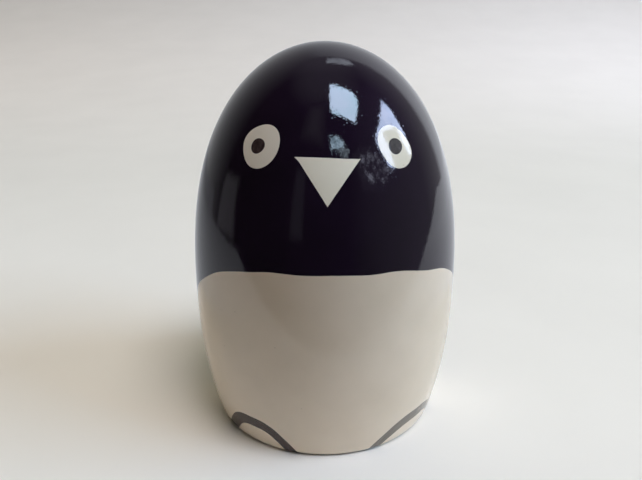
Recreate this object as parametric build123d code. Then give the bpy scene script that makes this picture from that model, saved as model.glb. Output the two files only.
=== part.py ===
from build123d import *
import os
from math import cos, radians, sin, sqrt

# Penguin figurine: a hollow, slip-cast egg with fired-on coats of colour and a soft stopper in its base.
# It stands on z = 0 about the Z axis and faces -Y. Its own left is +X. Lengths are millimetres.
# Azimuths are degrees about Z, zero at the front and positive towards +X.

# Egg: finished outside, from the table to the crown
HEIGHT = 100.0
BELLY_RADIUS = 35.4
BELLY_HEIGHT = 34.1
FOOT_RADIUS = 30.0
DOME_POWER = 2.635
FLANK_SHARES = (0, 0.25, 0.5, 0.75, 1)
DOME_SHARES = (0.22, 0.42, 0.6, 0.75, 0.87, 0.95, 0.99, 1)
SLOPE_STEP_SHARE = 0.001

# Cast shell: wall, floor, foot ring and pour hole
WALL = 4.5
FLOOR = 4.5
FLOOR_CORNER_RADIUS = 4.0
FOOT_RING_WIDTH = 5.0
FOOT_RING_HEIGHT = 3.0
FOOT_EDGE_RADIUS = 0.5
POUR_HOLE_RADIUS = 10.5
POUR_HOLE_EDGE_RADIUS = 0.6

# Fired coats: their thickness, and the bare strip that the potter wipes clean at the foot
COAT = 0.5
BARE_FOOT = 0.6

# Belly: the ivory field is an arch in azimuth and height, turned a little to the viewer's right
BELLY_ARCH_HEIGHT = 52.0
BELLY_ARCH_HALF_ANGLE = 99.0
BELLY_ARCH_TURN = 2.7
BELLY_ARCH_POWER = 3.0
BELLY_ARCH_STEPS = 32
BELLY_WALL_INNER_RADIUS = 6.0

# Eyes: hand-cut rounds, each a mean radius with shares of two, three and four waves around it
EYE_STEPS = 16
LEFT_EYE_AZIMUTH = 33.5
LEFT_EYE_HEIGHT = 78.5
LEFT_EYE_RADIUS = 4.7
LEFT_EYE_WAVE_SHARES = (0.113, 0.019, 0.011)
LEFT_EYE_WAVE_ANGLES = (-66.0, -9.0, -14.0)
RIGHT_EYE_AZIMUTH = -30.3
RIGHT_EYE_HEIGHT = 78.8
RIGHT_EYE_RADIUS = 5.0
RIGHT_EYE_WAVE_SHARES = (0.038, 0.03, 0.014)
RIGHT_EYE_WAVE_ANGLES = (69.0, 42.0, -22.0)

# Pupils: dots in the eyes, set off from the eye's middle across and up the skin
LEFT_PUPIL_RADIUS = 1.78
LEFT_PUPIL_ACROSS = 0.0
LEFT_PUPIL_UP = 0.15
RIGHT_PUPIL_RADIUS = 1.7
RIGHT_PUPIL_ACROSS = -0.6
RIGHT_PUPIL_UP = 0.0

# Beak: a triangle that points down, rolled a little out of level
BEAK_AZIMUTH = 0.4
BEAK_HEIGHT = 72.3
BEAK_WIDTH = 14.5
BEAK_LENGTH = 11.06
BEAK_ROLL = -3.4
BEAK_TIP_SHIFT = 0.5
BEAK_CORNER_RADIUS = 0.3

# Feet: arches at the base, drawn with a brush line; shares are of an arch's half width and rise
FOOT_ARCH_SHARES = ((-1, 0), (-0.76, 0.5), (-0.43, 0.9), (0, 1), (0.43, 0.9), (0.76, 0.5), (1, 0))
FOOT_LINE = 3.35
LEFT_FOOT_AZIMUTH = 47.3
LEFT_FOOT_HALF_WIDTH = 13.2
LEFT_FOOT_RISE = 8.1
RIGHT_FOOT_AZIMUTH = -35.2
RIGHT_FOOT_HALF_WIDTH = 11.5
RIGHT_FOOT_RISE = 8.7

# Stopper: flange under the floor, hollow ribbed neck through the pour hole, finger bar in the ring's recess
STOPPER_FLANGE_RADIUS = 13.5
STOPPER_FLANGE = 1.2
STOPPER_FLANGE_EDGE_RADIUS = 0.4
STOPPER_NECK_RELIEF = 0.6
STOPPER_NECK_END = 2.5
STOPPER_LEAD_IN = 1.2
STOPPER_WALL = 1.6
STOPPER_RIBS = 3
STOPPER_RIB_CLEARANCE = 0.05
STOPPER_RIB_WIDTH = 0.9
FINGER_BAR_LENGTH = 15.0
FINGER_BAR_WIDTH = 3.0
FINGER_BAR_HEIGHT = 1.1
FINGER_BAR_EDGE_RADIUS = 0.4

# Every cutting solid runs past what it cuts by this much
OVERRUN = 2.0

RECESS_RADIUS = FOOT_RADIUS - COAT - FOOT_RING_WIDTH
CAVITY_FLOOR = FOOT_RING_HEIGHT + FLOOR
NECK_RADIUS = POUR_HOLE_RADIUS - STOPPER_NECK_RELIEF
RIB_RADIUS = POUR_HOLE_RADIUS - STOPPER_RIB_CLEARANCE


def egg_radius(height, inset):
    """Radius of the egg at a height, with its skin moved in by an inset."""
    belly = BELLY_RADIUS - inset
    if height >= BELLY_HEIGHT:
        rise = (height - BELLY_HEIGHT) / (HEIGHT - inset - BELLY_HEIGHT)
        return belly * sqrt(max(0, 1 - rise**DOME_POWER))
    drop = 1 - height / BELLY_HEIGHT
    taper = (FOOT_RADIUS - inset) / belly
    return belly * sqrt(1 - (1 - taper**2) * drop**2)


def egg_slope(height, inset):
    """Change of the egg's radius for each millimetre of height."""
    step = SLOPE_STEP_SHARE * HEIGHT
    return (egg_radius(height + step, inset) - egg_radius(height - step, inset)) / (2 * step)


def egg_line(start, inset):
    """Half section of the egg in the XZ plane, from a start height up to the crown."""
    crown = HEIGHT - inset
    heights = [start + share * (BELLY_HEIGHT - start) for share in FLANK_SHARES]
    heights += [BELLY_HEIGHT + share * (crown - BELLY_HEIGHT) for share in DOME_SHARES]
    points = [(egg_radius(height, inset), 0, height) for height in heights]
    ends = [(egg_slope(start, inset), 0, 1), (-1, 0, 0)]
    return Spline(points, tangents=ends)


def turned(lines):
    """Solid turned about Z from the closed half section that the lines make."""
    return revolve(make_face(lines), axis=Axis.Z)


def direction(azimuth):
    """Level unit vector that points outwards at an azimuth."""
    return Vector(sin(radians(azimuth)), -cos(radians(azimuth)), 0)


def skin_plane(azimuth, height):
    """Plane that touches the egg, with x across to the viewer's right and y up the skin."""
    out = direction(azimuth)
    normal = out - Vector(0, 0, egg_slope(height, 0))
    origin = out * egg_radius(height, 0) + Vector(0, 0, height)
    return Plane(origin=origin, x_dir=direction(azimuth + 90), z_dir=normal)


def through_coat(plane, outline, reach):
    """Prism of a closed outline that is drawn on a plane, reaching both ways through the coat."""
    return extrude(plane * make_face(outline), amount=reach, dir=plane.z_dir, both=True)


def body_shell():
    """Cast egg: outside under the coats, hollow inside, foot ring, recess and pour hole."""
    outside = egg_line(0, COAT)
    inside = egg_line(CAVITY_FLOOR, COAT + WALL)
    foot = outside @ 0
    section = [
        outside,
        Line(outside @ 1, inside @ 1),
        inside,
        Polyline(
            inside @ 0,
            (POUR_HOLE_RADIUS, 0, CAVITY_FLOOR),
            (POUR_HOLE_RADIUS, 0, FOOT_RING_HEIGHT),
            (RECESS_RADIUS, 0, FOOT_RING_HEIGHT),
            (RECESS_RADIUS, 0, 0),
            foot,
        ),
    ]
    shell = turned(section)
    rims = shell.edges().filter_by(GeomType.CIRCLE)
    at_floor = rims.filter_by(lambda rim: abs(rim.center().Z - CAVITY_FLOOR) < COAT)
    at_table = rims.filter_by(lambda rim: abs(rim.center().Z) < COAT)
    hole = rims.filter_by(lambda rim: abs(rim.radius - POUR_HOLE_RADIUS) < COAT)
    corner = at_floor.filter_by(lambda rim: rim.radius > POUR_HOLE_RADIUS + COAT)
    shell = fillet(corner, FLOOR_CORNER_RADIUS)
    shell = fillet(shell.edges().filter_by(lambda rim: is_same_rim(rim, at_table)), FOOT_EDGE_RADIUS)
    return fillet(shell.edges().filter_by(lambda rim: is_same_rim(rim, hole)), POUR_HOLE_EDGE_RADIUS)


def is_same_rim(edge, rims):
    """Whether an edge is a circle of the same size and height as one of the rims."""
    if edge.geom_type != GeomType.CIRCLE:
        return False
    near = SLOPE_STEP_SHARE * HEIGHT
    return any(
        abs(edge.radius - rim.radius) < near and abs(edge.center().Z - rim.center().Z) < near
        for rim in rims
    )


def whole_coat():
    """Coat over the whole egg, from the bare strip at the foot to the crown."""
    outside = egg_line(0, 0)
    inside = egg_line(0, COAT)
    coat = turned([outside, Line(outside @ 1, inside @ 1), inside, Line(inside @ 0, outside @ 0)])
    return coat.split(Plane.XY.offset(BARE_FOOT), keep=Keep.TOP)


def belly_arch(radius):
    """Edge of the belly field at a radius: an arch that ends below the table at both sides."""
    points = []
    for step in range(BELLY_ARCH_STEPS + 1):
        angle = radians(180 * step / BELLY_ARCH_STEPS)
        side = abs(cos(angle)) ** (2 / BELLY_ARCH_POWER) * (-1 if cos(angle) > 0 else 1)
        azimuth = BELLY_ARCH_TURN + BELLY_ARCH_HALF_ANGLE * side
        height = (BELLY_ARCH_HEIGHT + OVERRUN) * sin(angle) - OVERRUN
        points.append(direction(azimuth) * radius + Vector(0, 0, height))
    return Spline(points)


def belly_block():
    """Everything below the belly's arch, bounded by walls that run straight out from the axis."""
    wall = Face.make_surface_from_curves(
        belly_arch(BELLY_WALL_INNER_RADIUS).edge(),
        belly_arch(BELLY_RADIUS + OVERRUN).edge(),
    )
    return extrude(wall, amount=BELLY_ARCH_HEIGHT + 2 * OVERRUN, dir=(0, 0, -1))


def eye_prism(plane, radius, wave_shares, wave_angles):
    """Hand-cut round that deviates from a circle by a few waves."""
    points = []
    for step in range(EYE_STEPS):
        angle = 360 * step / EYE_STEPS
        swell = 1
        for waves, (share, phase) in enumerate(zip(wave_shares, wave_angles), start=2):
            swell += share * cos(radians(waves * (angle - phase)))
        points.append((radius * swell * cos(radians(angle)), radius * swell * sin(radians(angle))))
    return through_coat(plane, Spline(points, periodic=True), radius)


def pupil_prism(plane, radius, across, up):
    """Round dot in an eye."""
    spot = Plane(origin=plane.from_local_coords(Vector(across, up, 0)), x_dir=plane.x_dir, z_dir=plane.z_dir)
    return through_coat(spot, Edge.make_circle(radius), radius)


def beak_prism():
    """Triangle that points down, with slightly rounded corners."""
    plane = skin_plane(BEAK_AZIMUTH, BEAK_HEIGHT).rotated((0, 0, BEAK_ROLL))
    half = BEAK_WIDTH / 2
    top = BEAK_LENGTH / 2
    triangle = make_face(Polyline((-half, top), (half, top), (BEAK_TIP_SHIFT, -top), close=True))
    triangle = fillet(triangle.vertices(), BEAK_CORNER_RADIUS)
    return extrude(plane * triangle, amount=half, dir=plane.z_dir, both=True)


def foot_prism(azimuth, half_width, rise):
    """Arch that stands on the table, seen straight on at its azimuth."""
    out = direction(azimuth)
    plane = Plane(origin=out * FOOT_RADIUS, x_dir=direction(azimuth + 90), z_dir=out)
    arch = Spline([(half_width * across, rise * up) for across, up in FOOT_ARCH_SHARES])
    under = Polyline(arch @ 0, (-half_width, -OVERRUN), (half_width, -OVERRUN), arch @ 1)
    return through_coat(plane, [arch, under], half_width)


def base_stopper():
    """Soft stopper: flange, hollow ribbed neck with a tapered end, and a bar to pull it by."""
    seat = FOOT_RING_HEIGHT
    under = seat - STOPPER_FLANGE
    top = CAVITY_FLOOR + STOPPER_NECK_END
    bore = NECK_RADIUS - STOPPER_WALL
    stopper = turned(
        Polyline(
            (0, 0, under),
            (STOPPER_FLANGE_RADIUS, 0, under),
            (STOPPER_FLANGE_RADIUS, 0, seat),
            (NECK_RADIUS, 0, seat),
            (NECK_RADIUS, 0, top - STOPPER_LEAD_IN),
            (NECK_RADIUS - STOPPER_LEAD_IN / 2, 0, top),
            (bore, 0, top),
            (bore, 0, seat),
            (0, 0, seat),
            close=True,
        )
    )
    flange_rim = stopper.edges().filter_by(GeomType.CIRCLE).sort_by(Axis.Z)[0]
    stopper = fillet(flange_rim, STOPPER_FLANGE_EDGE_RADIUS)
    for rib in range(STOPPER_RIBS):
        middle = seat + FLOOR * (rib + 1) / (STOPPER_RIBS + 1)
        half = STOPPER_RIB_WIDTH / 2
        root = NECK_RADIUS - STOPPER_WALL / 2
        ring = Polyline(
            (root, 0, middle - half),
            (NECK_RADIUS, 0, middle - half),
            (RIB_RADIUS, 0, middle),
            (NECK_RADIUS, 0, middle + half),
            (root, 0, middle + half),
            close=True,
        )
        stopper += turned(ring)
    bar = Box(FINGER_BAR_LENGTH, FINGER_BAR_WIDTH, FINGER_BAR_HEIGHT + STOPPER_FLANGE / 2)
    bar = fillet(bar.edges().filter_by(Axis.Z), FINGER_BAR_WIDTH / 2 - FINGER_BAR_EDGE_RADIUS)
    bar = fillet(bar.faces().sort_by(Axis.Z)[0].edges(), FINGER_BAR_EDGE_RADIUS)
    middle = under + STOPPER_FLANGE / 4 - FINGER_BAR_HEIGHT / 2
    return stopper + Pos(0, 0, middle) * bar


def painted_coats():
    """Cuts the whole coat into its painted areas, which meet edge to edge."""
    coat = whole_coat()
    field = belly_block()
    nodes = {"belly_glaze": coat & field, "black_glaze": coat - field}

    beak = beak_prism()
    nodes["beak"] = nodes["black_glaze"] & beak
    nodes["black_glaze"] -= beak

    eyes = {
        "left": (LEFT_EYE_AZIMUTH, LEFT_EYE_HEIGHT, LEFT_EYE_RADIUS,
                 LEFT_EYE_WAVE_SHARES, LEFT_EYE_WAVE_ANGLES,
                 LEFT_PUPIL_RADIUS, LEFT_PUPIL_ACROSS, LEFT_PUPIL_UP),
        "right": (RIGHT_EYE_AZIMUTH, RIGHT_EYE_HEIGHT, RIGHT_EYE_RADIUS,
                  RIGHT_EYE_WAVE_SHARES, RIGHT_EYE_WAVE_ANGLES,
                  RIGHT_PUPIL_RADIUS, RIGHT_PUPIL_ACROSS, RIGHT_PUPIL_UP),
    }
    for side, (azimuth, height, radius, shares, angles, dot, across, up) in eyes.items():
        plane = skin_plane(azimuth, height)
        eye = eye_prism(plane, radius, shares, angles)
        pupil = pupil_prism(plane, dot, across, up)
        white = nodes["black_glaze"] & eye
        nodes["black_glaze"] -= eye
        nodes[f"{side}_pupil"] = white & pupil
        nodes[f"{side}_eye_white"] = white - pupil

    feet = {
        "left": (LEFT_FOOT_AZIMUTH, LEFT_FOOT_HALF_WIDTH, LEFT_FOOT_RISE),
        "right": (RIGHT_FOOT_AZIMUTH, RIGHT_FOOT_HALF_WIDTH, RIGHT_FOOT_RISE),
    }
    for side, (azimuth, half_width, rise) in feet.items():
        outer = foot_prism(azimuth, half_width, rise)
        inner = foot_prism(azimuth, half_width - FOOT_LINE, rise - FOOT_LINE)
        patch = nodes["belly_glaze"] & outer
        nodes["belly_glaze"] -= outer
        nodes[f"{side}_foot"] = patch & inner
        nodes[f"{side}_foot_line"] = patch - inner
    return nodes


nodes = {"body_shell": body_shell(), "base_stopper": base_stopper()}
nodes.update(painted_coats())
os.makedirs("parts", exist_ok=True)
for name, solid in nodes.items():
    export_step(solid, os.path.join("parts", f"{name}.step"))
    print(name, round(solid.volume, 1))
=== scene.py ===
from math import atan2, cos, hypot, pi, radians, sin, sqrt

import bpy
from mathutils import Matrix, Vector


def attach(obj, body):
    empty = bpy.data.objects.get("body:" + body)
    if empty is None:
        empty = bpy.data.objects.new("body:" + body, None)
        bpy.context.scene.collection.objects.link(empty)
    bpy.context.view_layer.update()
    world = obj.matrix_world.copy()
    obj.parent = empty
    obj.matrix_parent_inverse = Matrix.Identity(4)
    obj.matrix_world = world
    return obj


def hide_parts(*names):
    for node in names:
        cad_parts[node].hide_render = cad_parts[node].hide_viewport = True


# Penguin figurine of slip-cast earthenware, about the Z axis, facing -Y, its own left at +X.
# Its painted areas are cut from one glazed skin, so the gloss runs on over every colour edge.
# Azimuths are degrees about Z, zero at the front and positive towards the viewer's right.

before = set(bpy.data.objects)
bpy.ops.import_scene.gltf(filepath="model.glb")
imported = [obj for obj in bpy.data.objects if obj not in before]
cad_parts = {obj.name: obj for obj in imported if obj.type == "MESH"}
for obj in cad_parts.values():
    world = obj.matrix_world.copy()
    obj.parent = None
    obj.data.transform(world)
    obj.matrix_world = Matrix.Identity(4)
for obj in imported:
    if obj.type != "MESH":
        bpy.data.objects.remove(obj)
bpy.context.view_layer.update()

MM = 0.001

# Egg, with the sizes of the solids and a foot a little fuller
HEIGHT = 100.0 * MM
BELLY_RADIUS = 35.4 * MM
BELLY_HEIGHT = 34.1 * MM
FOOT_RADIUS = 30.6 * MM
DOME_POWER = 2.635
COAT = 0.5 * MM
SLOPE_STEP = 0.1 * MM

# Cast shell
WALL = 4.5 * MM
FLOOR = 4.5 * MM
FLOOR_CORNER_RADIUS = 4.0 * MM
FOOT_RING_WIDTH = 5.6 * MM
FOOT_RING_HEIGHT = 3.0 * MM
FOOT_EDGE_RADIUS = 0.5 * MM
# Rounding of the foot: radius, and the angles on it where the flank begins and the glaze stops
FOOT_ROUND = 1.8 * MM
FOOT_ROUND_TOP = -18
FOOT_GLAZE_END = -60
POUR_HOLE_RADIUS = 10.5 * MM
POUR_HOLE_EDGE_RADIUS = 0.6 * MM
RECESS_RADIUS = FOOT_RADIUS - COAT - FOOT_RING_WIDTH
CAVITY_FLOOR = FOOT_RING_HEIGHT + FLOOR

# Fineness of the turned forms: steps around, and along the flank and the dome, then the angle up to which
# their shading is smooth, and the distance at which two points become one
SKIN_TURN_STEPS = 216
SKIN_FLANK_STEPS = 36
SKIN_DOME_STEPS = 96
LINING_STEPS = 30
BODY_TURN_STEPS = 144
ARC_STEPS = 6
SMOOTH_ANGLE = 40
MERGE_DISTANCE = 0.001 * MM

# Belly arch
BELLY_ARCH_HEIGHT = 52.0 * MM
BELLY_ARCH_HALF_ANGLE = 99.0
BELLY_ARCH_TURN = 2.7
BELLY_ARCH_POWER = 3.0
BELLY_ARCH_STEPS = 180
BELLY_BLOCK_INNER_RADIUS = 20.0 * MM
OVERRUN = 2.0 * MM
# Hand-painted waver of its edge: how far it rises above the arch, at azimuths along it
BELLY_WAVER = ((-99, 0), (-60, -1.0 * MM), (-44, -0.2 * MM), (-31, -0.1 * MM), (-21, 0.2 * MM),
               (-8, -0.1 * MM), (3, 0), (18, -0.35 * MM), (27, -0.1 * MM), (43, -0.65 * MM), (58, 0),
               (72, 0.3 * MM), (105, 0))

# Eyes: azimuth, height, mean radius, then shares and angles of two, three and four waves around it
EYE_STEPS = 72
EYES = {
    "left": (33.5, 78.5 * MM, 4.6 * MM, (0.113, 0.019, 0.011), (-66, -9, -14)),
    "right": (-30.3, 78.8 * MM, 4.9 * MM, (0.038, 0.03, 0.014), (69, 42, -22)),
}
# Pupils: radius, and place across and up the skin from the eye's middle
PUPILS = {
    "left": (1.85 * MM, 0.02 * MM, 0.12 * MM),
    "right": (1.78 * MM, -0.65 * MM, -0.1 * MM),
}
PUPIL_STEPS = 40
PUPIL_WAVE_SHARES = (0.03, 0.02, 0.0)
PUPIL_WAVE_ANGLES = (40, 10, 0)

# Beak: a triangle, with a sag in its top edge and a flare at the corner on its own right
BEAK_AZIMUTH = 1.05
BEAK_HEIGHT = 72.19 * MM
BEAK_WIDTH = 14.0 * MM
BEAK_LENGTH = 10.63 * MM
BEAK_ROLL = -2.0
BEAK_TIP_SHIFT = 0.2 * MM
BEAK_TOP_SAG = 0.12 * MM
BEAK_SAG_SHARE = 0.45
BEAK_FLARE = 0.3 * MM
BEAK_FLARE_DROP = 1.0 * MM

# Feet: azimuth, half width and rise of the arch outside and inside each brush line
FEET = {
    "left": ((48.0, 14.3 * MM, 8.6 * MM), (49.0, 11.8 * MM, 5.2 * MM)),
    "right": ((-34.5, 11.8 * MM, 9.45 * MM), (-33.8, 8.3 * MM, 6.2 * MM)),
}
FOOT_ARCH_SHARES = ((-1, 0), (-0.76, 0.5), (-0.43, 0.9), (0, 1), (0.43, 0.9), (0.76, 0.5), (1, 0))
FOOT_ARCH_STEPS = 12

# Stopper, with the flat crest of a rib as a share of its width
STOPPER_FLANGE_RADIUS = 13.5 * MM
STOPPER_FLANGE = 1.2 * MM
STOPPER_EDGE_RADIUS = 0.4 * MM
STOPPER_NECK_RELIEF = 0.6 * MM
STOPPER_NECK_END = 2.5 * MM
STOPPER_LEAD_IN = 1.2 * MM
STOPPER_WALL = 1.6 * MM
STOPPER_RIBS = 3
STOPPER_RIB_CLEARANCE = 0.05 * MM
STOPPER_RIB_WIDTH = 0.9 * MM
STOPPER_RIB_CREST = 0.3
FINGER_BAR = Vector((15.0 * MM, 3.0 * MM, 1.1 * MM))
FINGER_BAR_EDGE = 0.5 * MM
FINGER_BAR_EDGE_STEPS = 4

# Camera: fitted to the outline of the egg in the photograph
IMAGE_WIDTH = 642
FOCAL_PIXELS = 611
SENSOR_WIDTH = 36
CAMERA_BACK = 158.4 * MM
CAMERA_HEIGHT = 105.6 * MM
CAMERA_PITCH = 20.08
CAMERA_YAW = 0.365


def add_camera():
    """Camera in front of the penguin, looking down at it."""
    data = bpy.data.cameras.new("photo_camera")
    data.sensor_width = SENSOR_WIDTH
    data.lens = SENSOR_WIDTH * FOCAL_PIXELS / IMAGE_WIDTH
    data.clip_start = MM
    camera = bpy.data.objects.new("photo_camera", data)
    camera.location = (0, -CAMERA_BACK, CAMERA_HEIGHT)
    camera.rotation_euler = (radians(90 - CAMERA_PITCH), 0, radians(CAMERA_YAW))
    bpy.context.collection.objects.link(camera)
    bpy.context.scene.camera = camera


# Forms

def egg_radius(height, inset):
    """Radius of the egg at a height, with its skin moved in by an inset."""
    belly = BELLY_RADIUS - inset
    if height >= BELLY_HEIGHT:
        rise = (height - BELLY_HEIGHT) / (HEIGHT - inset - BELLY_HEIGHT)
        return belly * sqrt(max(0, 1 - rise**DOME_POWER))
    drop = 1 - height / BELLY_HEIGHT
    taper = (FOOT_RADIUS - inset) / belly
    return belly * sqrt(1 - (1 - taper**2) * drop**2)


def egg_line(start, inset, flank_steps, dome_steps):
    """Points of the egg's half section, from a start height up to the crown."""
    heights = [start + (BELLY_HEIGHT - start) * step / flank_steps for step in range(flank_steps)]
    for step in range(dome_steps + 1):
        rise = sin(radians(90 * step / dome_steps)) ** (2 / DOME_POWER)
        heights.append(BELLY_HEIGHT + rise * (HEIGHT - inset - BELLY_HEIGHT))
    return [Vector((egg_radius(height, inset), 0, height)) for height in heights]


def arc(x, z, radius, start, end):
    """Points of an arc in the half section, between two angles in degrees."""
    angles = [radians(start + (end - start) * step / ARC_STEPS) for step in range(ARC_STEPS + 1)]
    return [Vector((x + radius * cos(angle), 0, z + radius * sin(angle))) for angle in angles]


def foot_round(inset, start, end):
    """Points of the foot's rounding between two angles, with its skin moved in by an inset."""
    top = radians(FOOT_ROUND_TOP)
    middle = egg_radius(FOOT_ROUND * (1 + sin(top)), 0) - FOOT_ROUND * cos(top)
    return arc(middle, FOOT_ROUND, FOOT_ROUND - inset, start, end)


def coat_line():
    """Half section where the coats lie on the cast body, from the end of the glaze up to the crown."""
    points = foot_round(COAT, FOOT_GLAZE_END, FOOT_ROUND_TOP)
    return points + egg_line(FOOT_ROUND, COAT, LINING_STEPS, LINING_STEPS)


def direction(azimuth):
    """Level unit vector that points outwards at an azimuth."""
    return Vector((sin(radians(azimuth)), -cos(radians(azimuth)), 0))


def skin_plane(azimuth, height):
    """Place on the egg: its point, the directions across and up the skin, and outwards."""
    out = direction(azimuth)
    across = direction(azimuth + 90)
    rise = egg_radius(height + SLOPE_STEP, 0) - egg_radius(height - SLOPE_STEP, 0)
    normal = (out - Vector((0, 0, rise / (2 * SLOPE_STEP)))).normalized()
    origin = out * egg_radius(height, 0) + Vector((0, 0, height))
    return origin, across, normal.cross(across), normal


def wavy_round(radius, wave_shares, wave_angles, steps):
    """Hand-cut round: a circle that swells by a few waves."""
    points = []
    for step in range(steps):
        angle = 360 * step / steps
        swell = 1
        for waves, (share, phase) in enumerate(zip(wave_shares, wave_angles), start=2):
            swell += share * cos(radians(waves * (angle - phase)))
        points.append((radius * swell * cos(radians(angle)), radius * swell * sin(radians(angle))))
    return points


def smooth_run(points, steps):
    """Smooth line through the points, as a run of short edges."""
    curve = bpy.data.curves.new("run", "CURVE")
    run = curve.splines.new("BEZIER")
    run.bezier_points.add(len(points) - 1)
    run.resolution_u = steps
    for place, (x, y) in zip(run.bezier_points, points):
        place.co = (x / MM, y / MM, 0)
        place.handle_left_type = place.handle_right_type = "AUTO"
    holder = bpy.data.objects.new("run", curve)
    line = [(v.co.x * MM, v.co.y * MM) for v in bpy.data.meshes.new_from_object(holder).vertices]
    bpy.data.objects.remove(holder)
    return line


# Modelling moves

def trace(name, points):
    """Starts a piece by extruding one vertex from point to point. It stays in edit mode."""
    bpy.ops.object.select_all(action="DESELECT")
    bpy.ops.mesh.primitive_plane_add(size=MM)
    piece = bpy.context.object
    piece.name = name
    bpy.ops.object.mode_set(mode="EDIT")
    bpy.ops.mesh.merge(type="CENTER")
    bpy.ops.transform.translate(value=points[0])
    for here, there in zip(points, points[1:]):
        bpy.ops.mesh.extrude_region_move(TRANSFORM_OT_translate={"value": there - here})
    bpy.ops.mesh.select_all(action="SELECT")
    return piece


def close_up():
    """Merges doubles, drops loose edges, points the faces outwards and leaves edit mode."""
    bpy.ops.mesh.select_all(action="SELECT")
    bpy.ops.mesh.remove_doubles(threshold=MERGE_DISTANCE)
    bpy.ops.mesh.delete_loose(use_verts=True, use_edges=True, use_faces=False)
    bpy.ops.mesh.select_all(action="SELECT")
    bpy.ops.mesh.normals_make_consistent(inside=False)
    bpy.ops.object.mode_set(mode="OBJECT")


def turned(name, points, steps):
    """Spins a closed half section about Z into a smooth piece."""
    piece = trace(name, points + points[:1])
    bpy.ops.mesh.spin(steps=steps, angle=2 * pi, center=(0, 0, 0), axis=(0, 0, 1))
    close_up()
    bpy.ops.object.shade_smooth_by_angle(angle=radians(SMOOTH_ANGLE))
    return piece


def prism(name, plane, outline, reach):
    """Cutter: a closed outline on a plane, carried through the skin by its reach both ways."""
    origin, across, up, normal = plane
    start = origin - normal * reach
    cutter = trace(name, [start + across * x + up * y for x, y in outline])
    bpy.ops.mesh.edge_face_add()
    bpy.ops.mesh.extrude_region_move(TRANSFORM_OT_translate={"value": normal * reach * 2})
    close_up()
    return cutter


def copy_of(source, name):
    """A copy of a piece, with its own mesh."""
    piece = source.copy()
    piece.data = source.data.copy()
    piece.name = name
    bpy.context.collection.objects.link(piece)
    return piece


def carve(piece, cutter, operation):
    """Cuts a piece with a cutter and keeps what the operation names."""
    cut = piece.modifiers.new("cut", "BOOLEAN")
    cut.operation = operation
    cut.object = cutter
    cut.solver = "EXACT"
    bpy.context.view_layer.objects.active = piece
    bpy.ops.object.modifier_apply(modifier=cut.name)


def split_many_sided(piece):
    """Cuts the many-sided faces along a piece's edges into even triangles, and drops slivers folded there."""
    bpy.ops.object.select_all(action="DESELECT")
    piece.select_set(True)
    bpy.context.view_layer.objects.active = piece
    bpy.ops.object.mode_set(mode="EDIT")
    bpy.ops.mesh.select_all(action="DESELECT")
    bpy.ops.mesh.select_face_by_sides(number=4, type="GREATER")
    bpy.ops.mesh.quads_convert_to_tris(quad_method="BEAUTY", ngon_method="BEAUTY")
    bpy.ops.mesh.select_all(action="DESELECT")
    bpy.ops.mesh.select_non_manifold(use_wire=False, use_multi_face=False, use_non_contiguous=False,
                                     use_verts=False)
    bpy.ops.mesh.delete(type="ONLY_FACE")
    bpy.ops.mesh.select_all(action="SELECT")
    bpy.ops.mesh.delete_loose(use_verts=True, use_edges=True, use_faces=False)
    bpy.ops.object.mode_set(mode="OBJECT")


def skin_piece(skin, name, keep=None, take=()):
    """A piece of the skin: what a cutter keeps, less what others take, shaded as the whole skin is."""
    piece = copy_of(skin, name)
    if keep:
        carve(piece, keep, "INTERSECT")
    for cutter in take:
        carve(piece, cutter, "DIFFERENCE")
    split_many_sided(piece)
    shade = piece.modifiers.new("shade", "DATA_TRANSFER")
    shade.object = skin
    shade.use_loop_data = True
    shade.data_types_loops = {"CUSTOM_NORMAL"}
    shade.loop_mapping = "POLYINTERP_NEAREST"
    bpy.ops.object.modifier_apply(modifier=shade.name)
    return piece


# Cutters for the painted areas

def waver(azimuth):
    """How far the painted belly edge rises above its arch at an azimuth, eased from mark to mark."""
    for (start, low), (end, high) in zip(BELLY_WAVER, BELLY_WAVER[1:]):
        if start <= azimuth <= end:
            share = (azimuth - start) / (end - start)
            return low + (high - low) * share * share * (3 - 2 * share)
    return 0


def belly_block():
    """Everything below the belly's arch, with walls that run straight out from the axis."""
    points = []
    for step in range(BELLY_ARCH_STEPS + 1):
        angle = radians(180 * step / BELLY_ARCH_STEPS)
        side = abs(cos(angle)) ** (2 / BELLY_ARCH_POWER) * (-1 if cos(angle) > 0 else 1)
        azimuth = BELLY_ARCH_TURN + BELLY_ARCH_HALF_ANGLE * side
        height = (BELLY_ARCH_HEIGHT + OVERRUN) * sin(angle) - OVERRUN + waver(azimuth)
        points.append(direction(azimuth) * BELLY_BLOCK_INNER_RADIUS + Vector((0, 0, height)))
    block = trace("belly_block", points)
    widen = (BELLY_RADIUS + OVERRUN) / BELLY_BLOCK_INNER_RADIUS
    bpy.ops.mesh.extrude_region_move(TRANSFORM_OT_translate={"value": (0, 0, 0)})
    bpy.ops.transform.resize(value=(widen, widen, 1), center_override=(0, 0, 0))
    bpy.ops.mesh.select_all(action="SELECT")
    drop = BELLY_ARCH_HEIGHT + 2 * OVERRUN
    bpy.ops.mesh.extrude_region_move(TRANSFORM_OT_translate={"value": (0, 0, -drop)})
    close_up()
    return block


def eye_cutter(side):
    """Round of an eye, on the skin."""
    azimuth, height, radius, shares, angles = EYES[side]
    outline = wavy_round(radius, shares, angles, EYE_STEPS)
    return prism(f"{side}_eye_cutter", skin_plane(azimuth, height), outline, radius)


def pupil_cutter(side):
    """Dot in an eye."""
    azimuth, height = EYES[side][:2]
    radius, right, above = PUPILS[side]
    origin, across, up, normal = skin_plane(azimuth, height)
    plane = (origin + across * right + up * above, across, up, normal)
    outline = wavy_round(radius, PUPIL_WAVE_SHARES, PUPIL_WAVE_ANGLES, PUPIL_STEPS)
    return prism(f"{side}_pupil_cutter", plane, outline, radius)


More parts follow.
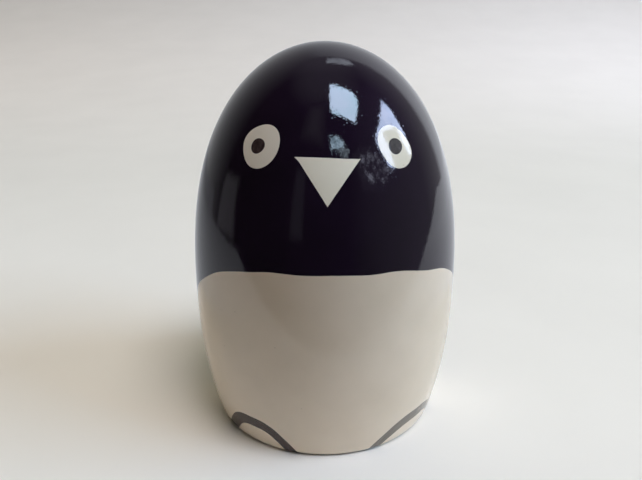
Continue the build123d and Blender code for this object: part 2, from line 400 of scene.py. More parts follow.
def beak_cutter():
    """Triangle that points down, rolled a little out of level, its right corner drawn out by the brush."""
    half = BEAK_WIDTH / 2
    top = BEAK_LENGTH / 2
    turn = radians(BEAK_ROLL)
    sag = (half * BEAK_SAG_SHARE, top - BEAK_TOP_SAG)
    flare = ((half + BEAK_TIP_SHIFT) * BEAK_FLARE_DROP / BEAK_LENGTH - half, top - BEAK_FLARE_DROP)
    corners = ((-half - BEAK_FLARE, top), sag, (half, top), (BEAK_TIP_SHIFT, -top), flare)
    outline = [(x * cos(turn) - y * sin(turn), x * sin(turn) + y * cos(turn)) for x, y in corners]
    return prism("beak_cutter", skin_plane(BEAK_AZIMUTH, BEAK_HEIGHT), outline, half)


def foot_cutter(name, azimuth, half_width, rise):
    """Arch of a foot that stands on the table."""
    out = direction(azimuth)
    plane = (out * FOOT_RADIUS, direction(azimuth + 90), Vector((0, 0, 1)), out)
    arch = smooth_run([(half_width * x, rise * y) for x, y in FOOT_ARCH_SHARES], FOOT_ARCH_STEPS)
    outline = arch + [(half_width, -OVERRUN), (-half_width, -OVERRUN)]
    return prism(name, plane, outline, half_width)


# Materials

# Levels of a cloud at which a material has its one tone and its other
CLOUD_LOW = 0.3
CLOUD_HIGH = 0.7

# Fired gloss: size and depth of its slow waves, its fine peel and its pinholes
GLOSS_WAVE = 11 * MM
GLOSS_WAVE_DEPTH = 0.03 * MM
GLOSS_PEEL = 0.65 * MM
GLOSS_PEEL_DEPTH = 0.012 * MM
PINHOLE_SPACING = 0.95 * MM
PINHOLE_SHARE = 0.24
PINHOLE_DEPTH = 0.008 * MM
GLAZE_IOR = 1.5
CREAM_GLAZE_IOR = 1.4
THIN_GLAZE_IOR = 1.33

# Glazes and underglazes: size of their clouds, specks and brush streaks, and their roughness
BLACK_CLOUD = 16 * MM
BLACK_ROUGHNESS = (0.035, 0.06)
CLEAR_CLOUD = 14 * MM
CLEAR_ROUGHNESS = (0.05, 0.09)
SPECK_SPACING = 6 * MM
SPECK_SHARES = (0.015, 0.03)
SPECK_STRENGTH = 0.4
PUPIL_CLOUD = 1.2 * MM
PUPIL_CLOUD_LOW = 0.35
PUPIL_ROUGHNESS = 0.06
STREAK_LENGTH = 9 * MM
STREAK_WIDTH = 0.45 * MM
STREAK_HIGH = 0.75
STROKE_ROUGHNESS = 0.08

# Bare clay and rubber: size and depth of their grain, the darker foot (partly wear, partly painted contact
# shade), and roughness
SAND = 0.5 * MM
SAND_DEPTH = 0.04 * MM
WORN_AND_SHADED_HEIGHT = 0.5 * MM
WORN_AND_SHADED_STRENGTH = 0.6
CLAY_ROUGHNESS = 0.85
RUBBER_CLOUD = 4 * MM
RUBBER_GRAIN = 0.3 * MM
RUBBER_GRAIN_DEPTH = 0.01 * MM
RUBBER_ROUGHNESS = 0.5


def linear(colour):
    """Linear colour, with alpha, of an sRGB hex value."""
    parts = [int(colour[place:place + 2], 16) / 255 for place in (1, 3, 5)]
    return (*[c / 12.92 if c <= 0.04045 else ((c + 0.055) / 1.055) ** 2.4 for c in parts], 1)


def node(tree, kind, inputs=None, stops=None, **settings):
    """Adds a node with its settings; each input is a value or the socket that feeds it."""
    made = tree.nodes.new(kind)
    for name, value in settings.items():
        setattr(made, name, value)
    for name, value in (inputs or {}).items():
        if isinstance(value, bpy.types.NodeSocket):
            tree.links.new(value, made.inputs[name])
        else:
            made.inputs[name].default_value = value
    if stops:
        ramp = made.color_ramp.elements
        for stop, (place, colour) in zip(ramp, stops):
            stop.position = place
            stop.color = colour
    return made


def new_material(name):
    """An empty material and the tree that it is made in."""
    material = bpy.data.materials.new(name)
    material.use_nodes = True
    material.node_tree.nodes.clear()
    return material, material.node_tree


def finish_material(tree, inputs):
    """Ends a material in one shader."""
    shader = node(tree, "ShaderNodeBsdfPrincipled", inputs)
    node(tree, "ShaderNodeOutputMaterial", {"Surface": shader.outputs[0]})


def fired_gloss(tree, place):
    """Relief of the fired glaze, one field over every painted area: slow waves, a fine peel and pinholes."""
    waves = node(tree, "ShaderNodeTexNoise", {"Vector": place, "Scale": 1 / GLOSS_WAVE, "Detail": 1})
    peel = node(tree, "ShaderNodeTexNoise", {"Vector": place, "Scale": 1 / GLOSS_PEEL, "Detail": 2})
    cells = node(tree, "ShaderNodeTexVoronoi", {"Vector": place, "Scale": 1 / PINHOLE_SPACING})
    pinholes = node(tree, "ShaderNodeMapRange",
                    {"Value": cells.outputs["Distance"], "From Max": PINHOLE_SHARE},
                    interpolation_type="SMOOTHSTEP")
    slow = node(tree, "ShaderNodeBump", {"Height": waves.outputs[0], "Distance": GLOSS_WAVE_DEPTH})
    fine = node(tree, "ShaderNodeBump",
                {"Height": peel.outputs[0], "Distance": GLOSS_PEEL_DEPTH, "Normal": slow.outputs[0]})
    holes = node(tree, "ShaderNodeBump",
                 {"Height": pinholes.outputs[0], "Distance": PINHOLE_DEPTH, "Normal": fine.outputs[0]})
    return holes.outputs[0]


def black_gloss_glaze():
    """Black gloss glaze, brushed and fired: near-black with a breath of plum, mirror-like, faintly wavy."""
    material, tree = new_material("black_gloss_glaze")
    place = node(tree, "ShaderNodeTexCoord").outputs["Object"]
    cloud = node(tree, "ShaderNodeTexNoise", {"Vector": place, "Scale": 1 / BLACK_CLOUD, "Detail": 3})
    colour = node(tree, "ShaderNodeValToRGB", {"Fac": cloud.outputs[0]},
                  stops=((CLOUD_LOW, linear("#180e1c")), (CLOUD_HIGH, linear("#1e1224"))))
    gloss = node(tree, "ShaderNodeMapRange",
                 {"Value": cloud.outputs[0], "From Min": CLOUD_LOW, "From Max": CLOUD_HIGH,
                  "To Min": BLACK_ROUGHNESS[0], "To Max": BLACK_ROUGHNESS[1]})
    finish_material(tree, {"Base Color": colour.outputs[0], "Roughness": gloss.outputs[0],
                           "Normal": fired_gloss(tree, place), "IOR": GLAZE_IOR})
    return material


def clear_glaze(name, low, high, ior):
    """Clear gloss glaze over a pale body: softly clouded between two tones, with a rare iron speck."""
    material, tree = new_material(name)
    place = node(tree, "ShaderNodeTexCoord").outputs["Object"]
    cloud = node(tree, "ShaderNodeTexNoise", {"Vector": place, "Scale": 1 / CLEAR_CLOUD, "Detail": 4})
    body = node(tree, "ShaderNodeValToRGB", {"Fac": cloud.outputs[0]},
                stops=((CLOUD_LOW, linear(low)), (CLOUD_HIGH, linear(high))))
    spots = node(tree, "ShaderNodeTexVoronoi", {"Vector": place, "Scale": 1 / SPECK_SPACING})
    speck = node(tree, "ShaderNodeMapRange",
                 {"Value": spots.outputs["Distance"], "From Min": SPECK_SHARES[0],
                  "From Max": SPECK_SHARES[1], "To Min": SPECK_STRENGTH, "To Max": 0})
    colour = node(tree, "ShaderNodeMix",
                  {"Factor": speck.outputs[0], 6: body.outputs[0], 7: linear("#8d7a63")}, data_type="RGBA")
    gloss = node(tree, "ShaderNodeMapRange",
                 {"Value": cloud.outputs[0], "From Min": CLOUD_LOW, "From Max": CLOUD_HIGH,
                  "To Min": CLEAR_ROUGHNESS[0], "To Max": CLEAR_ROUGHNESS[1]})
    finish_material(tree, {"Base Color": colour.outputs[2], "Roughness": gloss.outputs[0],
                           "Normal": fired_gloss(tree, place), "IOR": ior})
    return material


def pupil_underglaze():
    """Brown-black underglaze dot beneath the clear gloss, a little uneven."""
    material, tree = new_material("pupil_underglaze")
    place = node(tree, "ShaderNodeTexCoord").outputs["Object"]
    cloud = node(tree, "ShaderNodeTexNoise", {"Vector": place, "Scale": 1 / PUPIL_CLOUD, "Detail": 2})
    colour = node(tree, "ShaderNodeValToRGB", {"Fac": cloud.outputs[0]},
                  stops=((PUPIL_CLOUD_LOW, linear("#352829")), (CLOUD_HIGH, linear("#4c3f40"))))
    finish_material(tree, {"Base Color": colour.outputs[0], "Roughness": PUPIL_ROUGHNESS,
                           "Normal": fired_gloss(tree, place), "IOR": GLAZE_IOR})
    return material


def brushed_underglaze(name, full, thin):
    """Brown-black underglaze drawn on with a brush: streaks run along the line, thin where the hairs part."""
    material, tree = new_material(name)
    place = node(tree, "ShaderNodeTexCoord").outputs["Object"]
    brush = node(tree, "ShaderNodeAttribute", attribute_name="brush").outputs["Vector"]
    hairs = node(tree, "ShaderNodeMapping",
                 {"Vector": brush, "Scale": (1 / STREAK_LENGTH, 1 / STREAK_WIDTH, 1)})
    streaks = node(tree, "ShaderNodeTexNoise", {"Vector": hairs.outputs[0], "Scale": 1, "Detail": 3})
    colour = node(tree, "ShaderNodeValToRGB", {"Fac": streaks.outputs[0]},
                  stops=((CLOUD_LOW, linear(full)), (STREAK_HIGH, linear(thin))))
    finish_material(tree, {"Base Color": colour.outputs[0], "Roughness": STROKE_ROUGHNESS,
                           "Normal": fired_gloss(tree, place), "IOR": GLAZE_IOR})
    return material


def bare_earthenware():
    """Fired earthenware left bare: dry, sandy to the touch, darker where it stands: partly wear, partly
    painted contact shade.
    """
    material, tree = new_material("bare_earthenware")
    place = node(tree, "ShaderNodeTexCoord").outputs["Object"]
    sand = node(tree, "ShaderNodeTexNoise", {"Vector": place, "Scale": 1 / SAND, "Detail": 4})
    body = node(tree, "ShaderNodeValToRGB", {"Fac": sand.outputs[0]},
                stops=((CLOUD_LOW, linear("#cdbda2")), (CLOUD_HIGH, linear("#ddd0ba"))))
    height = node(tree, "ShaderNodeSeparateXYZ", {"Vector": place}).outputs["Z"]
    # Darker at the very bottom where it stands on the table: partly wear, partly painted shade of the contact
    worn_and_shaded = node(tree, "ShaderNodeMapRange",
                {"Value": height, "From Max": WORN_AND_SHADED_HEIGHT, "To Min": WORN_AND_SHADED_STRENGTH, "To Max": 0})
    colour = node(tree, "ShaderNodeMix",
                  {"Factor": worn_and_shaded.outputs[0], 6: body.outputs[0], 7: linear("#7d6147")}, data_type="RGBA")
    relief = node(tree, "ShaderNodeBump", {"Height": sand.outputs[0], "Distance": SAND_DEPTH})
    finish_material(tree, {"Base Color": colour.outputs[2], "Roughness": CLAY_ROUGHNESS,
                           "Normal": relief.outputs[0]})
    return material


def moulded_rubber():
    """Soft milky rubber from a matt mould: satin, slightly uneven in tone."""
    material, tree = new_material("moulded_rubber")
    place = node(tree, "ShaderNodeTexCoord").outputs["Object"]
    cloud = node(tree, "ShaderNodeTexNoise", {"Vector": place, "Scale": 1 / RUBBER_CLOUD, "Detail": 3})
    colour = node(tree, "ShaderNodeValToRGB", {"Fac": cloud.outputs[0]},
                  stops=((CLOUD_LOW, linear("#c6c0b2")), (CLOUD_HIGH, linear("#d3cec2"))))
    grain = node(tree, "ShaderNodeTexNoise", {"Vector": place, "Scale": 1 / RUBBER_GRAIN, "Detail": 2})
    relief = node(tree, "ShaderNodeBump", {"Height": grain.outputs[0], "Distance": RUBBER_GRAIN_DEPTH})
    finish_material(tree, {"Base Color": colour.outputs[0], "Roughness": RUBBER_ROUGHNESS,
                           "Normal": relief.outputs[0]})
    return material


# Pieces

def cast_body():
    """Hollow egg with its foot ring, recess, pour hole and rounded inside corner."""
    corner_height = CAVITY_FLOOR + FLOOR_CORNER_RADIUS
    corner = egg_radius(corner_height, COAT + WALL) - FLOOR_CORNER_RADIUS
    hole_edge = POUR_HOLE_RADIUS + POUR_HOLE_EDGE_RADIUS
    points = coat_line()
    points += egg_line(corner_height, COAT + WALL, LINING_STEPS, LINING_STEPS)[::-1]
    points += arc(corner, corner_height, FLOOR_CORNER_RADIUS, 0, -90)[1:]
    points += arc(hole_edge, CAVITY_FLOOR - POUR_HOLE_EDGE_RADIUS, POUR_HOLE_EDGE_RADIUS, 90, 180)
    points += arc(hole_edge, FOOT_RING_HEIGHT + POUR_HOLE_EDGE_RADIUS, POUR_HOLE_EDGE_RADIUS, 180, 270)
    points += [Vector((RECESS_RADIUS, 0, FOOT_RING_HEIGHT))]
    points += arc(RECESS_RADIUS + FOOT_EDGE_RADIUS, FOOT_EDGE_RADIUS, FOOT_EDGE_RADIUS, 180, 270)
    points += foot_round(0, -90, FOOT_GLAZE_END)
    return turned("cast_body", points, BODY_TURN_STEPS)


def soft_stopper():
    """Stopper with a flange, a hollow ribbed neck and a bar to pull it by."""
    seat = FOOT_RING_HEIGHT
    under = seat - STOPPER_FLANGE
    top = CAVITY_FLOOR + STOPPER_NECK_END
    neck = POUR_HOLE_RADIUS - STOPPER_NECK_RELIEF
    rib_radius = POUR_HOLE_RADIUS - STOPPER_RIB_CLEARANCE
    bore = neck - STOPPER_WALL
    rim = STOPPER_FLANGE_RADIUS - STOPPER_EDGE_RADIUS
    points = [Vector((0, 0, under))]
    points += arc(rim, under + STOPPER_EDGE_RADIUS, STOPPER_EDGE_RADIUS, -90, 0)
    points += [Vector((STOPPER_FLANGE_RADIUS, 0, seat)), Vector((neck, 0, seat))]
    rib_line = ((-1, neck), (-STOPPER_RIB_CREST, rib_radius), (STOPPER_RIB_CREST, rib_radius), (1, neck))
    for rib in range(STOPPER_RIBS):
        middle = seat + FLOOR * (rib + 1) / (STOPPER_RIBS + 1)
        for offset, radius in rib_line:
            points.append(Vector((radius, 0, middle + offset * STOPPER_RIB_WIDTH / 2)))
    points += [Vector((neck, 0, top - STOPPER_LEAD_IN)), Vector((neck - STOPPER_LEAD_IN / 2, 0, top))]
    points += [Vector((bore, 0, top))]
    points += arc(bore - STOPPER_EDGE_RADIUS, seat + STOPPER_EDGE_RADIUS, STOPPER_EDGE_RADIUS, 0, -90)
    points += [Vector((0, 0, seat))]
    stopper = turned("soft_stopper", points, BODY_TURN_STEPS)
    bpy.ops.object.select_all(action="DESELECT")
    bpy.ops.mesh.primitive_cube_add(size=1)
    bar = bpy.context.object
    bpy.ops.object.mode_set(mode="EDIT")
    tall = FINGER_BAR.z + STOPPER_FLANGE / 2
    bpy.ops.transform.resize(value=(FINGER_BAR.x, FINGER_BAR.y, tall))
    bpy.ops.transform.translate(value=(0, 0, under + STOPPER_FLANGE / 2 - tall / 2))
    bpy.ops.mesh.bevel(offset=FINGER_BAR_EDGE, segments=FINGER_BAR_EDGE_STEPS, affect="EDGES")
    close_up()
    carve(stopper, bar, "UNION")
    bpy.data.objects.remove(bar)
    stopper.select_set(True)
    bpy.context.view_layer.objects.active = stopper
    bpy.ops.object.shade_smooth_by_angle(angle=radians(SMOOTH_ANGLE))
    return stopper


def brush_along(piece, side):
    """Gives a foot line its own coordinates: along the stroke, and across it."""
    azimuth, half_width, rise = FEET[side][0]
    across = direction(azimuth + 90)
    brush = piece.data.attributes.new("brush", "FLOAT_VECTOR", "POINT")
    for vertex, mark in zip(piece.data.vertices, brush.data):
        x = vertex.co.dot(across) / half_width
        y = vertex.co.z / rise
        mark.vector = (atan2(y, x) * half_width, hypot(x, y) * half_width, 0)


def dress(piece, body, node_name, material):
    """Gives a piece its finish and its body, and hides the node that it stands for."""
    piece.data.materials.clear()
    piece.data.materials.append(material)
    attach(piece, body)
    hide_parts(node_name)


def build_figurine():
    """All the pieces, cut, named and finished."""
    outside = foot_round(0, FOOT_GLAZE_END, FOOT_ROUND_TOP)
    outside += egg_line(FOOT_ROUND, 0, SKIN_FLANK_STEPS, SKIN_DOME_STEPS)
    skin = turned("whole_skin", outside + coat_line()[::-1], SKIN_TURN_STEPS)
    block = belly_block()
    beak = beak_cutter()
    eyes = {side: eye_cutter(side) for side in EYES}
    pupils = {side: pupil_cutter(side) for side in EYES}
    arches = {side: foot_cutter(f"{side}_foot_arch", *FEET[side][0]) for side in FEET}
    insides = {side: foot_cutter(f"{side}_foot_inside", *FEET[side][1]) for side in FEET}

    black = black_gloss_glaze()
    ivory = clear_glaze("clear_glaze_on_ivory_body", "#e6d5be", "#eddcc6", GLAZE_IOR)
    # Both eyes are one slip in two tones: the left eye darker as painted shade, the right eye lighter as
    # painted light
    creams = {"left": clear_glaze("eye_glaze_with_painted_shade", "#e8dfcb", "#ece3cf", CREAM_GLAZE_IOR),
              "right": clear_glaze("eye_glaze_with_painted_light", "#f3ecdf", "#f7f0e3", THIN_GLAZE_IOR)}
    white = clear_glaze("thin_glaze_on_white_slip", "#f8f1dd", "#fcf5e4", THIN_GLAZE_IOR)
    dot = pupil_underglaze()
    # Both lines are one underglaze; the left one is painted lighter, as painted reflection of the bright
    # table beside it
    lines = {"left": brushed_underglaze("brushed_underglaze_with_painted_reflection", "#685f55", "#837a6e"),
             "right": brushed_underglaze("full_brushed_underglaze", "#302220", "#4a3833")}

    head = skin_piece(skin, "black_head_and_back", take=(block, beak, *eyes.values()))
    dress(head, "figurine", "black_glaze", black)
    belly = skin_piece(skin, "ivory_belly", keep=block, take=arches.values())
    dress(belly, "figurine", "belly_glaze", ivory)
    dress(skin_piece(skin, "white_beak", keep=beak), "figurine", "beak", white)
    for side in EYES:
        eye = skin_piece(skin, f"{side}_eye", keep=eyes[side], take=(pupils[side],))
        dress(eye, "figurine", f"{side}_eye_white", creams[side])
        spot = skin_piece(skin, f"{side}_eye_dot", keep=pupils[side])
        dress(spot, "figurine", f"{side}_pupil", dot)
        stroke = skin_piece(skin, f"{side}_foot_stroke", keep=arches[side], take=(insides[side],))
        brush_along(stroke, side)
        dress(stroke, "figurine", f"{side}_foot_line", lines[side])
        pad = skin_piece(skin, f"{side}_foot_pad", keep=insides[side])
        dress(pad, "figurine", f"{side}_foot", ivory)
    for cutter in (skin, block, beak, *eyes.values(), *pupils.values(), *arches.values(), *insides.values()):
        bpy.data.objects.remove(cutter)

    dress(cast_body(), "figurine", "body_shell", bare_earthenware())
    dress(soft_stopper(), "stopper", "base_stopper", moulded_rubber())


# Stage: a pale sheet under and behind the figurine, in daylight from a roof window and a side window

# Sheet: the part of the table that the gloss and the soft light see, a wider apron for the eye alone, and
# the clear round under the foot
SHEET_FRONT = ((-0.45, 0.147), (-0.295, -0.09), (-0.1, -0.099), (0, -0.088), (0.1, -0.068), (0.262, -0.022),
               (0.57, 0.122))
SHEET_HALF_WIDTH = 1.6
SHEET_SIDE_START = 0.7
SHEET_FLAT_END = 0.8
SHEET_CURVE_START = 0.3
SHEET_CURVE_RADIUS = 2.5
SHEET_CURVE_ANGLE = 40
SHEET_CURVE_STEPS = 20
APRON_REACH = 3.0
APRON_DROP = 0.05 * MM
BASE_ROUND = 29.2 * MM
PAPER_CLOUD = 60 * MM

# Lights: middle, size across and along, radiance, and the direction that each one faces
LIGHTS = {
    "roof_window": (Vector((0.74, -0.83, 2.45)), (1.15, 1.22), (8.8, 8.15, 7.8), (0, 0, -1)),
    "side_window": (Vector((1.5, -0.3, 1.1)), (1.05, 0.9), (5.7, 7.6, 9.9), (-1, 0, 0)),
    "right_wash": (Vector((0.6, 0.45, 0.6)), (0.8, 0.3), (2.9, 2.8, 3.3), (0, 1, -0.3)),
    "left_wash": (Vector((-0.6, 0.45, 0.6)), (0.8, 0.3), (1.16, 0.94, 0.84), (0, 1, -0.3)),
    "base_light": (Vector((0.1, 0.1, -0.5)), (0.5, 0.5), (1.3, 1.3, 1.3), (0, 0, 1)),
}

# Room: colour of the soft light from behind, and brightness along each axis, for that light and as the gloss
# mirrors the room: where it begins and ends, and its level at both
BACK_GLOW = (1.46, 1.38, 1.1, 1)
BACK_LEVELS = {"Y": (0, 1, 0, 1)}
ROOM_LEVELS = {"X": (0.35, 1, 0.02, 0.21), "Y": (0.15, 1, 0, 0.55), "Z": (0.88, 0.98, 0, 0.18)}

# What only the gloss mirrors, far off: corners as azimuths and elevations, two colours as mirrored, the size
# of the patches that they change in, the cloud's levels there, and the width of a soft edge, in degrees.
# The black gloss mirrors about one part in 24, so the panels are that much brighter than they look in it
PANEL_DISTANCE = 4.0
MIRROR_GAIN = 24.0
PATCHY = (0.4, 0.6)
PLAIN = (0, 1)
PANE = ("#9faecd", "#adb9d6", 8, PATCHY, 0)
PANELS = {
    "roof_pane": (((39, 84), (64, 80), (73, 68), (70, 63), (62, 59), (43, 50), (26, 58), (11, 62), (13, 73)),
                  "#a3bdd3", "#afc1da", 16, PATCHY, 0),
    "roof_lower_pane": (((6, 46), (13, 46), (20, 43), (22, 39), (13, 38), (7, 38)),
                        "#465760", "#93a8b8", 2, PATCHY, 0),
    "roof_lower_shade": (((20, 43), (24, 40), (26, 36), (23, 33), (16, 34), (13, 38), (22, 39)),
                         "#15181b", "#5c666c", 2, PATCHY, 0),
    "side_pane_top": (((98, 46), (91, 46), (79, 44), (74, 42), (70, 37), (90, 32), (96, 33), (98, 39)),
                      *PANE),
    "side_pane_left": (((74, 42), (61, 38), (58, 33), (63, 23), (66, 20), (70, 19), (70, 27), (70, 37)),
                       *PANE),
    "side_pane_right": (((90, 32), (96, 33), (95, 25), (93, 17), (90, 19), (88, 26)), *PANE),
    "side_pane_middle": (((70, 37), (90, 32), (88, 26), (90, 19), (70, 19), (70, 27)),
                         "#282f31", "#31393a", 6, PATCHY, 0),
    "foliage": (((28, 34), (42, 36), (58, 33), (63, 23), (66, 20), (72, 19), (72, 14), (52, 13), (34, 16)),
                "#131315", "#5c5e68", 3, (0.5, 0.7), 4),
    "cornice": (((178, 62), (164, 58), (153, 56), (143, 57), (144, 63), (159, 68), (178, 70)),
                "#3a3c40", "#52555a", 9, PATCHY, 1),
    "door": (((-82, 12), (-101, 9), (-105, -10), (-80, -10)), "#070707", "#1c1c1d", 0, PLAIN, 3),
    "post": (((-16, 29), (-28, 28), (-30, -3), (-17, -3)), "#040404", "#121214", 0, PLAIN, 3),
    "far_ceiling": (((8, 70), (-34, 66), (-30, 42), (0, 38)), "#060606", "#161617", 0, PLAIN, 8),
}
# Pale surfaces around, also for the gloss alone: outline, and where brightness begins and ends from side to
# side, with its level at both. The table is in three, the middle one behind the figurine
PALE_WALL_DISTANCE = 1.5
PALE_WALL = ((-0.5, -0.76), (2.07, -0.76), (2.07, 0.75), (1.93, 1.25), (1.45, 1.94), (0.4, 2.7), (-0.5, 2.6))
PALE_WALL_RAMP = (-0.5, 1.4, 0.43, 1.2)
PALE_WALL_DIM = (0.7, 2.5, 1, 0.82)
PALE_WALL_EDGE = 5.5
SHEET_BACK = ((SHEET_HALF_WIDTH, SHEET_SIDE_START), (SHEET_HALF_WIDTH, SHEET_FLAT_END),
              (-SHEET_HALF_WIDTH, SHEET_FLAT_END), (-SHEET_HALF_WIDTH, SHEET_SIDE_START))
MIDDLE_LEFT = SHEET_FRONT[2][0]
MIDDLE_RIGHT = SHEET_FRONT[4][0]
MIDDLE_START = 0.06
BRIGHT_TABLE = (*SHEET_FRONT[4:], *SHEET_BACK[:2], (MIDDLE_RIGHT, SHEET_FLAT_END))
BRIGHT_TABLE_RAMP = (MIDDLE_RIGHT, 0.3, 0.9, 1.3)
DIM_TABLE = (*SHEET_BACK[2:], *SHEET_FRONT[:3], (MIDDLE_LEFT, SHEET_FLAT_END))
DIM_TABLE_RAMP = (-0.45, -0.12, 0.3, 0.62)
MIDDLE_TABLE = ((MIDDLE_LEFT, MIDDLE_START), (MIDDLE_RIGHT, MIDDLE_START),
                (MIDDLE_RIGHT, SHEET_FLAT_END), (MIDDLE_LEFT, SHEET_FLAT_END))
MIDDLE_TABLE_RAMP = (MIDDLE_LEFT, MIDDLE_RIGHT, 0.62, 0.9)


def pale_paper():
    """Pale matt paper, clear from below and in a round under the foot, so that the base can be looked at."""
    material, tree = new_material("pale_paper")
    place = node(tree, "ShaderNodeTexCoord").outputs["Object"]
    cloud = node(tree, "ShaderNodeTexNoise", {"Vector": place, "Scale": 1 / PAPER_CLOUD, "Detail": 3})
    colour = node(tree, "ShaderNodeValToRGB", {"Fac": cloud.outputs[0]},
                  stops=((CLOUD_LOW, linear("#e7e5e1")), (CLOUD_HIGH, linear("#eae8e4"))))
    paper = node(tree, "ShaderNodeBsdfDiffuse", {"Color": colour.outputs[0]})
    clear = node(tree, "ShaderNodeBsdfTransparent")
    below = node(tree, "ShaderNodeNewGeometry").outputs["Backfacing"]
    reach = node(tree, "ShaderNodeVectorMath", {0: place}, operation="LENGTH").outputs["Value"]
    under = node(tree, "ShaderNodeMath", {0: reach, 1: BASE_ROUND}, operation="LESS_THAN")
    gone = node(tree, "ShaderNodeMath", {0: below, 1: under.outputs[0]}, operation="MAXIMUM")
    both = node(tree, "ShaderNodeMixShader", {0: gone.outputs[0], 1: paper.outputs[0], 2: clear.outputs[0]})
    node(tree, "ShaderNodeOutputMaterial", {"Surface": both.outputs[0]})
    return material


def pane_glow(name, low, high, patch, levels):
    """Light of a panel in patches of two colours, as the gloss shows them; its soft edge has the first."""
    material, tree = new_material(name)
    level = node(tree, "ShaderNodeAttribute", attribute_name="inside").outputs["Fac"]
    if patch:
        place = node(tree, "ShaderNodeTexCoord").outputs["Object"]
        cloud = node(tree, "ShaderNodeTexNoise",
                     {"Vector": place, "Scale": 1 / (PANEL_DISTANCE * radians(patch)), "Detail": 2})
        level = node(tree, "ShaderNodeMath", {0: cloud.outputs[0], 1: level}, operation="MULTIPLY").outputs[0]
    colour = node(tree, "ShaderNodeValToRGB", {"Fac": level},
                  stops=((levels[0], linear(low)), (levels[1], linear(high))))
    light = node(tree, "ShaderNodeEmission", {"Color": colour.outputs[0], "Strength": MIRROR_GAIN})
    node(tree, "ShaderNodeOutputMaterial", {"Surface": light.outputs[0]})
    return material


def levels_along(tree, place, spans):
    """Brightness along each axis of a place, from one level where its span begins to another at its end."""
    axes = node(tree, "ShaderNodeSeparateXYZ", {"Vector": place}).outputs
    levels = []
    for axis, (start, end, low, high) in spans.items():
        level = node(tree, "ShaderNodeMapRange",
                     {"Value": axes[axis], "From Min": start, "From Max": end, "To Min": low, "To Max": high})
        levels.append(level.outputs[0])
    return levels


def ramp_glow(name, across):
    """Pale surface, brighter towards the side window, dimmer towards the ceiling, with a soft edge."""
    material, tree = new_material(name)
    place = node(tree, "ShaderNodeTexCoord").outputs["Object"]
    beside, above = levels_along(tree, place, {"X": across, "Z": PALE_WALL_DIM})
    level = node(tree, "ShaderNodeMath", {0: beside, 1: above}, operation="MULTIPLY")
    light = node(tree, "ShaderNodeEmission", {"Color": linear("#f4f8ff"), "Strength": level.outputs[0]})
    clear = node(tree, "ShaderNodeBsdfTransparent")
    inside = node(tree, "ShaderNodeAttribute", attribute_name="inside").outputs["Fac"]
    both = node(tree, "ShaderNodeMixShader", {0: inside, 1: clear.outputs[0], 2: light.outputs[0]})
    node(tree, "ShaderNodeOutputMaterial", {"Surface": both.outputs[0]})
    return material


def polar(azimuth, elevation, distance):
    """Point at an azimuth, an elevation and a distance from the figurine's middle."""
    level = direction(azimuth) * cos(radians(elevation))
    return (level + Vector((0, 0, sin(radians(elevation))))) * distance + Vector((0, 0, HEIGHT / 2))


def stage_piece(piece, material):
    """Ends a stage piece, with its pale side up or towards the viewer."""
    bpy.ops.object.mode_set(mode="OBJECT")
    if piece.data.polygons[0].normal.z < 0:
        piece.data.flip_normals()
    piece.data.materials.append(material)
    return piece


def flat_piece(name, points, material):
    """A flat piece of the stage inside a closed outline."""
    piece = trace(name, points)
    bpy.ops.mesh.edge_face_add()
    return stage_piece(piece, material)


def add_sheet():
    """Sheet that lies under the figurine and curves up behind it, with its apron all around."""
    paper = pale_paper()
    flat_piece("pale_sheet", [Vector((x, y, 0)) for x, y in SHEET_FRONT + SHEET_BACK], paper)
    rise = []
    for step in range(SHEET_CURVE_STEPS + 1):
        angle = radians(SHEET_CURVE_ANGLE * step / SHEET_CURVE_STEPS)
        back = SHEET_CURVE_START + SHEET_CURVE_RADIUS * sin(angle)
        rise.append(Vector((-APRON_REACH, back, SHEET_CURVE_RADIUS * (1 - cos(angle)))))
    curve = trace("pale_curve", rise)
    bpy.ops.mesh.extrude_region_move(TRANSFORM_OT_translate={"value": (2 * APRON_REACH, 0, 0)})
    stage_piece(curve, paper)
    bpy.ops.object.shade_smooth()
    curve.visible_glossy = False
    corners = ((-1, -APRON_REACH), (1, -APRON_REACH), (1, SHEET_FLAT_END), (-1, SHEET_FLAT_END))
    apron = flat_piece("pale_apron", [Vector((x * APRON_REACH, y, -APRON_DROP)) for x, y in corners], paper)
    apron.visible_diffuse = False
    apron.visible_glossy = False


def soft_edge(piece, width):
    """Marks the inside of a panel with one, and with a soft edge its outline with nought."""
    bpy.ops.object.mode_set(mode="EDIT")
    bpy.ops.mesh.select_all(action="SELECT")
    if width:
        bpy.ops.mesh.inset(thickness=PANEL_DISTANCE * radians(width))
    bpy.ops.object.mode_set(mode="OBJECT")
    inside = piece.data.attributes.new("inside", "FLOAT", "POINT")
    for vertex, mark in zip(piece.data.vertices, inside.data):
        mark.value = vertex.select


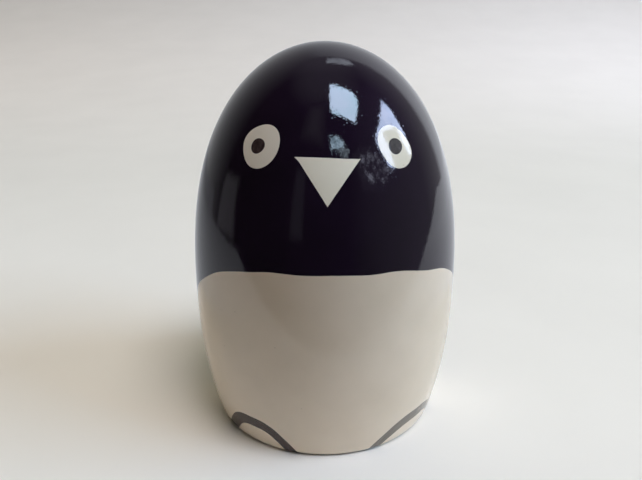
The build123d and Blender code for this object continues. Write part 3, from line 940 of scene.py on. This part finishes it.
def add_panels():
    """Windows, wall, table and odd bright things of the room, for the gloss alone."""
    pieces = []
    for name, (corners, *light, edge) in PANELS.items():
        points = [polar(azimuth, elevation, PANEL_DISTANCE) for azimuth, elevation in corners]
        piece = flat_piece(name, points, pane_glow(name, *light))
        soft_edge(piece, edge)
        pieces.append(piece)
    wall = [Vector((x, PALE_WALL_DISTANCE, z + HEIGHT / 2)) for x, z in PALE_WALL]
    tables = {"bright_table": (BRIGHT_TABLE, BRIGHT_TABLE_RAMP), "dim_table": (DIM_TABLE, DIM_TABLE_RAMP),
              "middle_table": (MIDDLE_TABLE, MIDDLE_TABLE_RAMP)}
    pieces.append(flat_piece("pale_wall", wall, ramp_glow("pale_wall", PALE_WALL_RAMP)))
    soft_edge(pieces[-1], PALE_WALL_EDGE)
    for name, (outline, ramp) in tables.items():
        table = [Vector((x, y, APRON_DROP)) for x, y in outline]
        pieces.append(flat_piece(name, table, ramp_glow(name, ramp)))
        soft_edge(pieces[-1], 0)
    for piece in pieces:
        piece.visible_camera = False
        piece.visible_diffuse = False
        piece.visible_shadow = False


def add_light(name, middle, size, radiance, aim):
    """Soft light of one window or wash; the gloss mirrors the panels instead."""
    data = bpy.data.lights.new(name, "AREA")
    data.shape = "RECTANGLE"
    data.size, data.size_y = size
    strength = max(radiance)
    data.energy = strength * pi * size[0] * size[1]
    data.color = [part / strength for part in radiance]
    light = bpy.data.objects.new(name, data)
    light.location = middle
    light.rotation_euler = Vector(aim).to_track_quat("-Z", "Y").to_euler()
    light.visible_glossy = False
    light.visible_camera = False
    bpy.context.collection.objects.link(light)


def add_room():
    """Room: a warm back for the soft light, and for the gloss a dark front that pales to the back."""
    world = bpy.data.worlds.new("room")
    world.use_nodes = True
    tree = world.node_tree
    tree.nodes.clear()
    towards = node(tree, "ShaderNodeTexCoord").outputs["Generated"]
    ray = node(tree, "ShaderNodeLightPath")
    right, back, above = levels_along(tree, towards, ROOM_LEVELS)
    both = node(tree, "ShaderNodeMath", {0: right, 1: back}, operation="ADD")
    level = node(tree, "ShaderNodeMath", {0: both.outputs[0], 1: above}, operation="ADD")
    mirrored = node(tree, "ShaderNodeBackground", {"Color": linear("#fafcff"), "Strength": level.outputs[0]})
    behind, = levels_along(tree, towards, BACK_LEVELS)
    soft = node(tree, "ShaderNodeBackground", {"Color": BACK_GLOW, "Strength": behind})
    pale = node(tree, "ShaderNodeBackground", {"Color": linear("#d8d8d6")})
    unseen = node(tree, "ShaderNodeMixShader",
                  {0: ray.outputs["Is Glossy Ray"], 1: soft.outputs[0], 2: mirrored.outputs[0]})
    seen = node(tree, "ShaderNodeMixShader",
                {0: ray.outputs["Is Camera Ray"], 1: unseen.outputs[0], 2: pale.outputs[0]})
    node(tree, "ShaderNodeOutputWorld", {"Surface": seen.outputs[0]})
    bpy.context.scene.world = world


add_camera()
build_figurine()
add_sheet()
add_panels()
for light_name, light in LIGHTS.items():
    add_light(light_name, *light)
add_room()
bpy.context.scene.view_settings.view_transform = "Standard"
